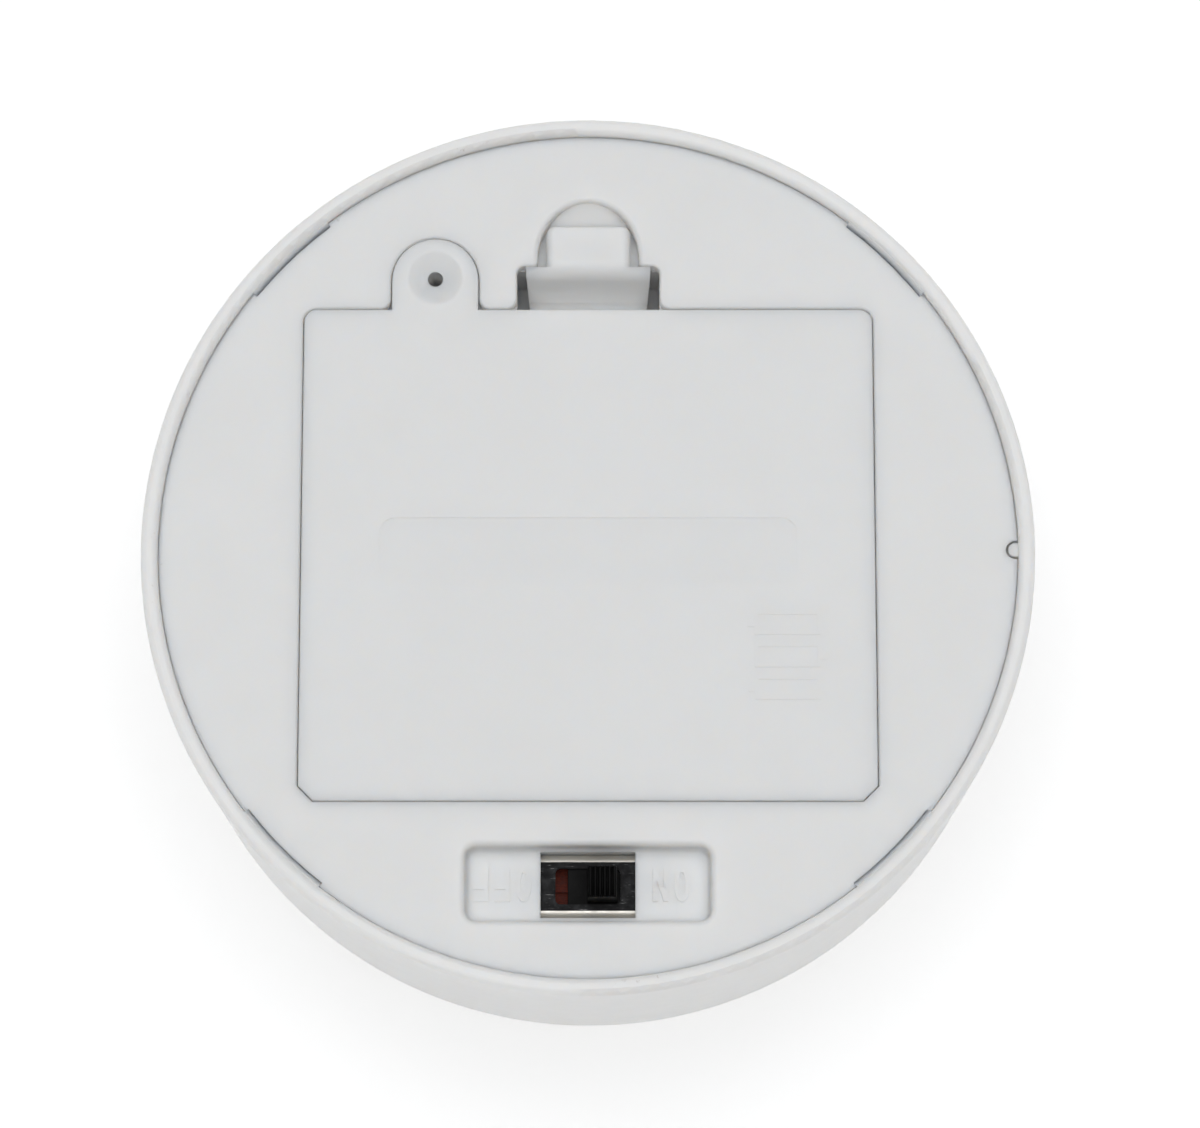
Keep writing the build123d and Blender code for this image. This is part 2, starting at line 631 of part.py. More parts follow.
# --- lens, reflector and board ------------------------------------------------------------
REFLECTOR_T = 0.8
REFLECTOR_TOP_R = 29.5
REFLECTOR_FLANGE_R = 36.5
REFLECTOR_BASE_R = 33.6
LENS_TOP = LENS_RECESS + LENS_T
COMPONENT_GAP = 0.4
BOARD_HOLE_R = 1.2

with BuildPart() as diffuser_lens:
    with BuildSketch(Plane.XZ):
        with BuildLine():
            Polyline(
                (0, LENS_RECESS),
                (FACE_OPENING_R - DOOR_GAP, LENS_RECESS),
                (FACE_OPENING_R - DOOR_GAP, FACE_T),
                (LENS_FLANGE_R, FACE_T),
                (LENS_FLANGE_R, LENS_TOP),
                (0, LENS_TOP),
                close=True,
            )
        make_face()
    revolve(axis=Axis.Z)

with BuildPart() as reflector:
    reflector_rim = BOARD_TOP - BOARD_T - COMPONENT_GAP
    with BuildSketch(Plane.XZ):
        with BuildLine():
            Polyline(
                (REFLECTOR_BASE_R, LENS_TOP),
                (REFLECTOR_FLANGE_R, LENS_TOP),
                (REFLECTOR_FLANGE_R, LENS_TOP + REFLECTOR_T),
                (REFLECTOR_BASE_R + REFLECTOR_T, LENS_TOP + REFLECTOR_T),
                (REFLECTOR_TOP_R + REFLECTOR_T, reflector_rim),
                (REFLECTOR_TOP_R, reflector_rim),
                close=True,
            )
        make_face()
    revolve(axis=Axis.Z)

with BuildPart() as led_board:
    with BuildSketch(Plane.XY.offset(BOARD_TOP - BOARD_T)):
        Circle(BOARD_R)
        with PolarLocations(STANDOFF_RING_R, 3, start_angle=90):
            Circle(BOARD_HOLE_R, mode=Mode.SUBTRACT)
    extrude(amount=BOARD_T)

LED_L = 3.5
LED_W = 2.8
LED_H = 0.8
RESISTOR = (3.2, 1.6, 0.6)
RESISTOR_RING_R = 10.0
board_under = BOARD_TOP - BOARD_T

with BuildPart() as led_chips:
    with Locations((0, 0, board_under)):
        with PolarLocations(LED_RING_R, LED_COUNT, start_angle=0):
            Box(LED_L, LED_W, LED_H, align=(Align.CENTER, Align.CENTER, Align.MAX))

with BuildPart() as board_resistors:
    with Locations((0, 0, board_under)):
        with PolarLocations(RESISTOR_RING_R, 3, start_angle=30):
            Box(*RESISTOR, align=(Align.CENTER, Align.CENTER, Align.MAX))

SCREW_HEAD_R = 1.9
SCREW_HEAD_H = 1.2
SCREW_HEAD_EDGE_R = 0.5
SCREW_LENGTH = 4.0
RECESS_R = 0.9
RECESS_W = 0.5
RECESS_DEPTH = 0.6

with BuildPart() as board_screws:
    with Locations((0, 0, board_under)):
        with PolarLocations(STANDOFF_RING_R, 3, start_angle=90):
            Cylinder(SCREW_HEAD_R, SCREW_HEAD_H, align=(Align.CENTER, Align.CENTER, Align.MAX))
            Cylinder(PILOT_R, SCREW_LENGTH, align=(Align.CENTER, Align.CENTER, Align.MIN))
    head_rims = board_screws.edges().filter_by(GeomType.CIRCLE).group_by(Axis.Z)[0]
    fillet(head_rims, radius=SCREW_HEAD_EDGE_R)
    with Locations((0, 0, board_under - SCREW_HEAD_H)):
        with PolarLocations(STANDOFF_RING_R, 3, start_angle=90):
            for turn in (0, 90):
                Box(
                    2 * RECESS_R, RECESS_W, RECESS_DEPTH, rotation=(0, 0, turn),
                    align=(Align.CENTER, Align.CENTER, Align.MIN), mode=Mode.SUBTRACT,
                )


# --- cells, contacts and springs ----------------------------------------------------------
CONTACT_X = BAY_X - STRIP_T
CAN_L = CELL_LENGTH - NUB_H
JACKET_INSET = 0.7
CAN_EDGE_R = 0.8
NUB_END_X = CONTACT_X - FIT
FLAT_END_X = NUB_END_X - CELL_LENGTH
SPRING_BASE_R = 3.6
SPRING_TIP_R = 2.6
SPRING_L = CONTACT_X + FLAT_END_X - 2 * FIT

# Each cell's Y, and the side that its nub faces.
CELLS = {"upper": (CELL_PITCH, 1), "middle": (0, -1), "lower": (-CELL_PITCH, 1)}
bottom_up = (Align.CENTER, Align.CENTER, Align.MIN)

cell_pieces = {}
for cell_name, (cell_y, nub_side) in CELLS.items():
    # Each cell stands on its flat end along its own axis, the nub last.
    cell_plane = Plane(
        origin=(nub_side * FLAT_END_X, cell_y, CELL_Z), x_dir=(0, 1, 0), z_dir=(nub_side, 0, 0)
    )
    with BuildPart(cell_plane) as can:
        Cylinder(CELL_CAN_R, CAN_L, align=bottom_up)
        fillet(can.edges().filter_by(GeomType.CIRCLE), radius=CAN_EDGE_R)
        with Locations((0, 0, CAN_L - FIT)):
            Cylinder(NUB_R, NUB_H + FIT, align=bottom_up)
    with BuildPart(cell_plane) as jacket:
        with Locations((0, 0, JACKET_INSET)):
            Cylinder(CELL_JACKET_R, CAN_L - 2 * JACKET_INSET, align=bottom_up)
            Cylinder(CELL_CAN_R, CAN_L - 2 * JACKET_INSET, align=bottom_up, mode=Mode.SUBTRACT)
    spring_plane = Plane(
        origin=(-nub_side * (CONTACT_X - FIT), cell_y, CELL_Z), x_dir=(0, 1, 0), z_dir=(nub_side, 0, 0)
    )
    with BuildPart(spring_plane) as spring:
        Cone(SPRING_BASE_R, SPRING_TIP_R, SPRING_L, align=bottom_up)
        Cone(
            SPRING_BASE_R - SPRING_WIRE, SPRING_TIP_R - SPRING_WIRE, SPRING_L,
            align=bottom_up, mode=Mode.SUBTRACT,
        )
    cell_pieces[f"cell_can_{cell_name}"] = can
    cell_pieces[f"cell_jacket_{cell_name}"] = jacket
    cell_pieces[f"contact_spring_{cell_name}"] = spring


def contact_strip(side, y_low, y_high, tail_y=None):
    """A flat strip against one end wall, with a tail through the wall if tail_y is given."""
    with BuildPart() as strip:
        strip_plane = Plane(origin=(side * CONTACT_X, 0, 0), x_dir=(0, 1, 0), z_dir=(1, 0, 0))
        with BuildSketch(strip_plane):
            with Locations(((y_low + y_high) / 2, CELL_Z)):
                RectangleRounded(y_high - y_low, CONTACT_H, CONTACT_CORNER_R)
        extrude(amount=side * STRIP_T)
        if tail_y is not None:
            x_limits = sorted((side * (CONTACT_X + FIT), side * TAIL_X))
            slab(
                *x_limits, tail_y - TAIL_W / 2, tail_y + TAIL_W / 2,
                TAIL_Z - STRIP_T / 2, TAIL_Z + STRIP_T / 2,
            )
    return strip


half_contact = CONTACT_W / 2
contact_positive = contact_strip(1, CELL_PITCH - half_contact, CELL_PITCH + half_contact, CELL_PITCH)
contact_negative = contact_strip(-1, -CELL_PITCH - half_contact, -CELL_PITCH + half_contact, -CELL_PITCH)
contact_bridge_left = contact_strip(-1, -half_contact, CELL_PITCH + half_contact)
contact_bridge_right = contact_strip(1, -CELL_PITCH - half_contact, half_contact)


# --- slide switch -------------------------------------------------------------------------
FRAME_TOP = POCKET_UNDER - FIT
FRAME_UNDER = FRAME_TOP - FRAME_T
FRAME_BEND_R = 0.85
SLIDER_TOP = FRAME_UNDER - FIT
SLIDER_PLAY = 0.2
SLIDER_W = FRAME_W - 2 * (FRAME_T + SLIDER_PLAY)
CONTACT_SPACE = 0.75
PHENOLIC_TOP = SLIDER_TOP - SLIDER_T - CONTACT_SPACE
PHENOLIC_BOTTOM = FRAME_TOP - FRAME_DEPTH
EAR_HOLE_R = POST_R + 0.1
PIN_TOP = PHENOLIC_TOP + 0.1
PIN_W = 1.2
PIN_T = 0.4
PIN_L = 3.6
WIPER_T = 0.5
KNOB_TOP = FRAME_TOP + KNOB_RISE
KNOB_EDGE_R = 0.35
KNOB_RIB_COUNT = 5
KNOB_RIB_PITCH = 0.56
KNOB_GROOVE = 0.26
KNOB_GROOVE_DEPTH = 0.35
# A groove across the phenolic base, seen through the slot beside the slider.
GROOVE_W = 0.4
GROOVE_Y = SWITCH_Y - 0.7

with BuildPart() as switch_frame:
    with BuildSketch(Plane.YZ) as channel:
        with Locations((SWITCH_Y, FRAME_TOP - FRAME_DEPTH / 2)):
            Rectangle(FRAME_W, FRAME_DEPTH)
        fillet(channel.vertices().group_by(Axis.Y)[-1], radius=FRAME_BEND_R)
        inner_d = FRAME_DEPTH - FRAME_T
        with Locations((SWITCH_Y, PHENOLIC_BOTTOM + inner_d / 2)):
            Rectangle(FRAME_W - 2 * FRAME_T, inner_d, mode=Mode.SUBTRACT)
    extrude(amount=FRAME_L / 2, both=True)
    with BuildSketch(Plane.XY.offset(FRAME_UNDER)):
        with Locations((0, SWITCH_Y)):
            SlotOverall(2 * (EAR_X + EAR_R), 2 * EAR_R)
    extrude(amount=FRAME_T)
    with BuildSketch(Plane.XY.offset(FRAME_UNDER)):
        with Locations((0, SWITCH_Y)):
            RectangleRounded(FRAME_SLOT_L, FRAME_SLOT_W, FRAME_SLOT_R)
        with Locations((-EAR_X, SWITCH_Y), (EAR_X, SWITCH_Y)):
            Circle(EAR_HOLE_R)
    extrude(amount=FRAME_T + FIT, mode=Mode.SUBTRACT)

with BuildPart() as switch_base:
    base_half_w = FRAME_W / 2 - FRAME_T - FIT
    slab(
        -FRAME_L / 2 + FRAME_T, FRAME_L / 2 - FRAME_T, SWITCH_Y - base_half_w,
        SWITCH_Y + base_half_w, PHENOLIC_BOTTOM, PHENOLIC_TOP,
    )
    with Locations([(x, SWITCH_Y, PHENOLIC_BOTTOM) for x in TERMINAL_XS]):
        Box(PIN_T, PIN_W, 2 * PIN_L, mode=Mode.SUBTRACT)
    slab(
        -FRAME_SLOT_L / 2, -FRAME_SLOT_W / 2, GROOVE_Y, GROOVE_Y + GROOVE_W,
        PHENOLIC_TOP - GROOVE_W, PHENOLIC_TOP + FIT, mode=Mode.SUBTRACT,
    )

with BuildPart() as switch_terminals:
    with Locations([(x, SWITCH_Y, PIN_TOP) for x in TERMINAL_XS]):
        Box(PIN_T, PIN_W, PIN_L + PHENOLIC_TOP - PHENOLIC_BOTTOM, align=top_down)

with BuildPart() as switch_wiper:
    wiper_x = sum(TERMINAL_XS) / 2
    wiper_l = TERMINAL_XS[-1] + 1
    wiper_top = SLIDER_TOP - SLIDER_T
    slab(
        wiper_x - wiper_l / 2, wiper_x + wiper_l / 2, SWITCH_Y - 1, SWITCH_Y + 1,
        wiper_top - WIPER_T, wiper_top,
    )

with BuildPart() as switch_knob:
    slab(
        KNOB_X - SLIDER_L / 2, KNOB_X + SLIDER_L / 2, SWITCH_Y - SLIDER_W / 2, SWITCH_Y + SLIDER_W / 2,
        SLIDER_TOP - SLIDER_T, SLIDER_TOP,
    )
    knob_steps = ((SLIDER_TOP - FIT, KNOB_BASE_W), (KNOB_TOP, KNOB_BASE_W - 2 * KNOB_DRAFT))
    for step_z, step_w in knob_steps:
        with BuildSketch(Plane.XY.offset(step_z)):
            with Locations((KNOB_X, SWITCH_Y)):
                RectangleRounded(step_w - KNOB_BASE_W + KNOB_L, step_w, KNOB_EDGE_R)
    loft()
    for rib in range(KNOB_RIB_COUNT):
        groove_x = KNOB_X + (rib - (KNOB_RIB_COUNT - 1) / 2) * KNOB_RIB_PITCH
        with Locations((groove_x, SWITCH_Y, KNOB_TOP)):
            Box(KNOB_GROOVE, 2 * KNOB_BASE_W, 2 * KNOB_GROOVE_DEPTH, mode=Mode.SUBTRACT)


# --- insulated leads ----------------------------------------------------------------------
BEND_SHARE = 0.45
TAIL_INSET = 0.8


def bend_radii(points):
    """Return the arc radius for each inner corner, from its shorter run and its turn."""
    route = [Vector(*point) for point in points]
    radii = []
    for before, corner, after in zip(route, route[1:], route[2:]):
        arriving = corner - before
        leaving = after - corner
        half_turn = math.radians(arriving.get_angle(leaving)) / 2
        radii.append(BEND_SHARE * min(arriving.length, leaving.length) / math.tan(half_turn))
    return radii


def lead(points):
    """An insulated wire along the given route."""
    radii = bend_radii(points)
    with BuildPart() as wire:
        with BuildLine():
            route = FilletPolyline(*points, radius=radii)
        with BuildSketch(Plane(origin=route @ 0, z_dir=route % 0)):
            Circle(LEAD_R)
        sweep()
    ideal = math.pi * LEAD_R**2 * route.length
    print("lead", round(route.length, 1), "volume over ideal", round(wire.part.volume / ideal, 3))
    return wire


# Corner points of each route, from one end to the other.
PIN_END = PIN_TOP - PIN_L - (PHENOLIC_TOP - PHENOLIC_BOTTOM)
lead_start_z = TAIL_Z - STRIP_T / 2
lead_x = TAIL_X - TAIL_INSET
lead_positive = lead([
    (lead_x, CELL_PITCH, lead_start_z),
    (lead_x, CELL_PITCH, 21.5),
    (30.7, 13.0, 18.6),
    (30.4, 11.0, 17.0),
    (30.4, 11.0, BOARD_TOP),
])
lead_switched = lead([
    (TERMINAL_XS[1], SWITCH_Y, PIN_END),
    (TERMINAL_XS[1], SWITCH_Y, 21.6),
    (4.7, -32.4, 19.2),
    (6.9, -31.2, 17.4),
    (6.9, -31.2, BOARD_TOP),
])
lead_negative = lead([
    (-lead_x, -CELL_PITCH, lead_start_z),
    (-lead_x, -CELL_PITCH, 21.6),
    (-32.0, -20.0, 19.6),
    (-27.5, -27.6, 19.0),
    (-19.5, -31.2, 18.8),
    (-10.5, -33.0, 18.9),
    (-1.9, SWITCH_Y, 19.8),
    (TERMINAL_XS[0], SWITCH_Y, 21.8),
    (TERMINAL_XS[0], SWITCH_Y, PIN_END),
])


# --- files --------------------------------------------------------------------------------
pieces = {
    "housing_shell": housing_shell,
    "base_plate": base_plate,
    "battery_door": battery_door,
    "door_latch": door_latch,
    "diffuser_lens": diffuser_lens,
    "reflector": reflector,
    "led_board": led_board,
    "led_chips": led_chips,
    "board_resistors": board_resistors,
    "board_screws": board_screws,
    "contact_positive": contact_positive,
    "contact_negative": contact_negative,
    "contact_bridge_left": contact_bridge_left,
    "contact_bridge_right": contact_bridge_right,
    "switch_frame": switch_frame,
    "switch_base": switch_base,
    "switch_terminals": switch_terminals,
    "switch_wiper": switch_wiper,
    "switch_knob": switch_knob,
    "lead_positive": lead_positive,
    "lead_switched": lead_switched,
    "lead_negative": lead_negative,
    **cell_pieces,
}
for piece_name, piece in pieces.items():
    save(piece, piece_name)
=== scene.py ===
import math

import bmesh
import bpy
from mathutils import Matrix, Vector


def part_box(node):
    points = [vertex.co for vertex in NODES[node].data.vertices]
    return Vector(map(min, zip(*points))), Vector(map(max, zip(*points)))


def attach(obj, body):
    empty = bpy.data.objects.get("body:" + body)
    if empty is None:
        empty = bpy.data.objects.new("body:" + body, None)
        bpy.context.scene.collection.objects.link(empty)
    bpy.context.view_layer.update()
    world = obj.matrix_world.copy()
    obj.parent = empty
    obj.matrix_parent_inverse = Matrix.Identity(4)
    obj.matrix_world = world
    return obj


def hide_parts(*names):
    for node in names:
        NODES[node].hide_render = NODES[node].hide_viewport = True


# A round battery light lying base up on a pale floor. All lengths are metres, in the CAD frame.
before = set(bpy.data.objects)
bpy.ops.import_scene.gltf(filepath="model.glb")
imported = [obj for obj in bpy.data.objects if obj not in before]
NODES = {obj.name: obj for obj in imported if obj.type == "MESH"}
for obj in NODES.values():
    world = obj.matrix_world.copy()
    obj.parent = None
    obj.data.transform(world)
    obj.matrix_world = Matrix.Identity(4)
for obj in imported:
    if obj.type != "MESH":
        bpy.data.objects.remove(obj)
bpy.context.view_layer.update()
MM = 0.001

# --- places read from the frame -----------------------------------------------------------
_, shell_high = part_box("housing_shell")
_, plate_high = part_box("base_plate")
knob_low, knob_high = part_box("switch_knob")
steel_low, steel_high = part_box("switch_frame")
_, board_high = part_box("led_board")
pin_low, pin_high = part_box("switch_terminals")
LIP_Z = shell_high.z
PLATE_R = plate_high.x
SWITCH_Y = (steel_low.y + steel_high.y) / 2
STEEL_HALF_W = (steel_high.y - steel_low.y) / 2
STEEL_BEND_R = 0.85 * MM


# --- node-tree helpers --------------------------------------------------------------------
class Graph:
    """A material's node tree, with short calls for the nodes that the finishes share."""

    def __init__(self, name):
        self.material = bpy.data.materials.new(name)
        self.material.use_nodes = True
        self.tree = self.material.node_tree
        self.shader = self.tree.nodes["Principled BSDF"]
        self.place = self.node("ShaderNodeTexCoord").outputs["Object"]

    def node(self, kind, **settings):
        made = self.tree.nodes.new(kind)
        for key, value in settings.items():
            setattr(made, key, value)
        return made

    def feed(self, socket, value):
        """Link an output to a socket, or set the socket's own value."""
        if isinstance(value, bpy.types.NodeSocket):
            self.tree.links.new(value, socket)
        else:
            socket.default_value = value

    def set(self, **values):
        """Set the shader's sockets. Underscores stand for spaces."""
        for key, value in values.items():
            self.feed(self.shader.inputs[key.replace("_", " ")], value)

    def stretched(self, scale):
        """Object coordinates scaled by a different amount along each axis."""
        mapping = self.node("ShaderNodeMapping")
        self.feed(mapping.inputs["Vector"], self.place)
        mapping.inputs["Scale"].default_value = scale
        return mapping.outputs["Vector"]

    def noise(self, scale, detail=2.0, roughness=0.5, vector=None):
        made = self.node("ShaderNodeTexNoise")
        self.feed(made.inputs["Vector"], vector or self.place)
        self.feed(made.inputs["Scale"], scale)
        self.feed(made.inputs["Detail"], detail)
        self.feed(made.inputs["Roughness"], roughness)
        return made.outputs["Fac"]

    def band(self, value, low, high, out_low=0.0, out_high=1.0):
        """Map low..high smoothly to out_low..out_high and hold it outside."""
        made = self.node("ShaderNodeMapRange", interpolation_type="SMOOTHSTEP")
        for key, number in (("Value", value), ("From Min", low), ("From Max", high),
                            ("To Min", out_low), ("To Max", out_high)):
            self.feed(made.inputs[key], number)
        return made.outputs["Result"]

    def math(self, operation, first, second=0.0):
        made = self.node("ShaderNodeMath", operation=operation)
        self.feed(made.inputs[0], first)
        self.feed(made.inputs[1], second)
        return made.outputs["Value"]

    def axis(self, letter):
        """The object coordinate along X, Y or Z."""
        split = self.node("ShaderNodeSeparateXYZ")
        self.feed(split.inputs["Vector"], self.place)
        return split.outputs[letter]

    def radius(self):
        """Distance from the housing's axis."""
        x, y = self.axis("X"), self.axis("Y")
        squares = self.math("ADD", self.math("MULTIPLY", x, x), self.math("MULTIPLY", y, y))
        return self.math("SQRT", squares)

    def mix(self, factor, first, second):
        made = self.node("ShaderNodeMix", data_type="RGBA")
        self.feed(made.inputs["Factor"], factor)
        self.feed(made.inputs["A"], first)
        self.feed(made.inputs["B"], second)
        return made.outputs["Result"]

    def bump(self, *layers):
        """Chain bumps given as (height, distance, strength)."""
        normal = None
        for height, distance, strength in layers:
            made = self.node("ShaderNodeBump")
            self.feed(made.inputs["Height"], height)
            self.feed(made.inputs["Distance"], distance)
            self.feed(made.inputs["Strength"], strength)
            if normal:
                self.feed(made.inputs["Normal"], normal)
            normal = made.outputs["Normal"]
        self.set(Normal=normal)


def rgb(red, green, blue):
    return (red, green, blue, 1.0)


# --- finishes -----------------------------------------------------------------------------
WHITE = rgb(0.874, 0.864, 0.849)
WHITE_DEEP = rgb(0.856, 0.845, 0.828)
GRIME = rgb(0.30, 0.21, 0.12)
SEAM_R = PLATE_R + 0.1 * MM


def white_abs(name, specks=0.0):
    """Moulded white plastic: fine spark grain, slow waves of shrinkage, light scuffs, specks."""
    g = Graph(name)
    tone = g.band(g.noise(55.0, 3.0, 0.6), 0.35, 0.65)
    colour = g.mix(g.math("MULTIPLY", tone, 0.5), WHITE, WHITE_DEEP)
    if specks:
        off_seam = g.math("ABSOLUTE", g.math("SUBTRACT", g.radius(), SEAM_R))
        near_rim = g.band(off_seam, 0.25 * MM, 0.9 * MM, 1.0, 0.0)
        patch = g.band(g.noise(70.0, 2.0), 0.56, 0.66)
        fleck = g.band(g.noise(1500.0, 3.0, 0.65), 0.60, 0.70)
        upward = g.band(g.axis("Z"), LIP_Z - 1.6 * MM, LIP_Z - 1.1 * MM)
        where = g.math("MULTIPLY", near_rim, patch)
        amount = g.math("MULTIPLY", where, g.math("MULTIPLY", fleck, upward))
        colour = g.mix(g.math("MULTIPLY", amount, specks), colour, GRIME)
    scuffs = g.noise(1.0, 4.0, 0.7, g.stretched((900.0, 260.0, 900.0)))
    worn = g.band(scuffs, 0.58, 0.72)
    rough = g.band(g.noise(420.0, 3.0), 0.3, 0.7, 0.36, 0.46)
    g.set(Base_Color=colour, Roughness=g.math("ADD", rough, g.math("MULTIPLY", worn, 0.07)))
    g.bump(
        (g.noise(46.0, 1.0), 0.12 * MM, 0.10),
        (g.noise(5200.0, 2.0, 0.6), 0.006 * MM, 0.30),
    )
    g.set(Subsurface_Weight=1.0, Subsurface_Scale=2.4 * MM, Subsurface_Radius=(1.0, 0.9, 0.8))
    g.set(IOR=1.5, Specular_IOR_Level=0.42)
    return g.material


def opal_acrylic():
    g = Graph("opal_acrylic")
    cloud = g.band(g.noise(90.0, 3.0), 0.3, 0.7)
    g.set(Base_Color=g.mix(cloud, rgb(0.80, 0.80, 0.775), rgb(0.765, 0.765, 0.735)))
    g.set(Roughness=g.band(g.noise(2600.0, 2.0), 0.3, 0.7, 0.40, 0.55))
    g.bump((g.noise(3800.0, 2.0), 0.010 * MM, 0.45))
    g.set(Subsurface_Weight=0.7, Subsurface_Scale=4.0 * MM, Subsurface_Radius=(1.0, 0.95, 0.85))
    g.set(Transmission_Weight=0.12, IOR=1.49)
    return g.material


def matte(name, colour, shade, roughness, specular=0.5):
    """A plain moulded, sleeved or coated finish with grain, tone and uneven gloss."""
    g = Graph(name)
    tone = g.band(g.noise(160.0, 3.0, 0.6), 0.32, 0.68)
    g.set(Base_Color=g.mix(tone, colour, shade))
    g.set(Roughness=g.band(g.noise(700.0, 3.0), 0.3, 0.7, roughness - 0.06, roughness + 0.08))
    g.bump((g.noise(3000.0, 2.0, 0.6), 0.008 * MM, 0.4))
    g.set(Specular_IOR_Level=specular)
    return g.material


def metal(name, colour, tarnish, roughness):
    """Plated metal: rolling marks, blotchy tarnish and scratches in the gloss."""
    g = Graph(name)
    blotch = g.band(g.noise(240.0, 4.0, 0.65), 0.42, 0.66)
    g.set(Base_Color=g.mix(g.math("MULTIPLY", blotch, 0.35), colour, tarnish))
    lines = g.noise(1.0, 3.0, 0.6, g.stretched((9000.0, 500.0, 9000.0)))
    g.set(Roughness=g.band(lines, 0.3, 0.7, roughness - 0.08, roughness + 0.12))
    g.bump((lines, 0.004 * MM, 0.25))
    g.set(Metallic=1.0)
    return g.material


def blackened_steel():
    """The switch's cover: painted near black on the flat, a painted reflection of the dark
    surroundings that bare steel mirrors, and painted bright on its bends as a painted highlight.
    """
    g = Graph("switch_steel")
    off_axis = g.math("ABSOLUTE", g.math("SUBTRACT", g.axis("Y"), SWITCH_Y))
    bend_highlight = g.band(off_axis, STEEL_HALF_W - STEEL_BEND_R, STEEL_HALF_W - STEEL_BEND_R + 0.13 * MM)
    mottle = g.band(g.noise(900.0, 4.0, 0.7), 0.38, 0.70)
    scratches = g.band(g.noise(1.0, 3.0, 0.7, g.stretched((700.0, 6000.0, 700.0))), 0.60, 0.74)
    # Painted reflection: the flat's near-black colour stands in for the dark surroundings that the
    # steel mirrors, under random mottle and light scratches.
    face = g.mix(mottle, rgb(0.0030, 0.0030, 0.0033), rgb(0.0120, 0.0123, 0.0130))
    face = g.mix(g.math("MULTIPLY", scratches, 0.5), face, rgb(0.22, 0.22, 0.22))
    # Painted highlight: the bends are painted bright where the curved steel catches the light.
    g.set(Base_Color=g.mix(g.math("MULTIPLY", bend_highlight, 0.9), face, rgb(0.80, 0.77, 0.71)))
    g.set(Metallic=0.85)
    g.set(Roughness=g.band(g.noise(1400.0, 3.0), 0.3, 0.7, 0.34, 0.52))
    g.bump((g.noise(2600.0, 3.0, 0.7), 0.010 * MM, 0.35))
    return g.material


def phenolic():
    """Paper laminate: fibres in dark red-brown resin."""
    g = Graph("phenolic")
    fibre = g.band(g.noise(1.0, 4.0, 0.7, g.stretched((2200.0, 5200.0, 2200.0))), 0.35, 0.65)
    g.set(Base_Color=g.mix(fibre, rgb(0.075, 0.009, 0.004), rgb(0.13, 0.020, 0.009)))
    g.set(Specular_IOR_Level=0.1)
    g.set(Roughness=g.band(fibre, 0.0, 1.0, 0.42, 0.56))
    g.bump((fibre, 0.010 * MM, 0.3))
    return g.material


# Where a cell jacket's bronze collar starts, measured from mid-length towards the nub.
COLLAR_X = 13.9 * MM


def cell_film(nub_side):
    """Shrink film on a cell: dark body, bronze collar near the nub, with a thin light line between."""
    g = Graph("cell_jacket_right" if nub_side > 0 else "cell_jacket_left")
    along = g.math("MULTIPLY", g.axis("X"), float(nub_side))
    collar = g.band(along, COLLAR_X, COLLAR_X + 0.2 * MM)
    line_start = g.band(along, COLLAR_X - 0.9 * MM, COLLAR_X - 0.8 * MM)
    line = g.math("MULTIPLY", line_start, g.band(along, COLLAR_X, COLLAR_X - 0.1 * MM))
    body_tone = g.band(g.noise(120.0, 2.0), 0.3, 0.7)
    body = g.mix(body_tone, rgb(0.018, 0.026, 0.040), rgb(0.023, 0.032, 0.047))
    bronze_tone = g.band(g.noise(90.0, 2.0), 0.3, 0.7)
    bronze = g.mix(bronze_tone, rgb(0.50, 0.24, 0.085), rgb(0.54, 0.27, 0.105))
    g.set(Base_Color=g.mix(line, g.mix(collar, body, bronze), rgb(0.62, 0.62, 0.60)))
    g.set(Metallic=g.math("MULTIPLY", collar, 0.8))
    g.set(Roughness=g.band(g.noise(260.0, 2.0), 0.3, 0.7, 0.24, 0.30))
    g.bump((g.noise(70.0, 1.0), 0.015 * MM, 0.10), (g.noise(1500.0, 1.0), 0.0006 * MM, 0.10))
    g.set(Coat_Weight=0.4, Coat_Roughness=0.12)
    return g.material


TRACK_PITCH = 4.2 * MM


def solder_mask():
    """The board: white mask over raised copper tracks, with a bare brown laminate edge."""
    g = Graph("board_laminate")
    rings = g.math("FRACT", g.math("DIVIDE", g.radius(), TRACK_PITCH))
    track = g.math("MULTIPLY", g.band(rings, 0.10, 0.16), g.band(rings, 0.52, 0.46))
    edge = g.band(g.radius(), board_high.x - 0.15 * MM, board_high.x - 0.05 * MM)
    mask = g.mix(track, rgb(0.74, 0.75, 0.73), rgb(0.80, 0.80, 0.76))
    g.set(Base_Color=g.mix(edge, mask, rgb(0.42, 0.36, 0.20)))
    g.set(Roughness=g.band(g.noise(900.0, 2.0), 0.3, 0.7, 0.30, 0.42))
    g.bump((track, 0.035 * MM, 0.6), (g.noise(2500.0, 2.0), 0.005 * MM, 0.2))
    return g.material


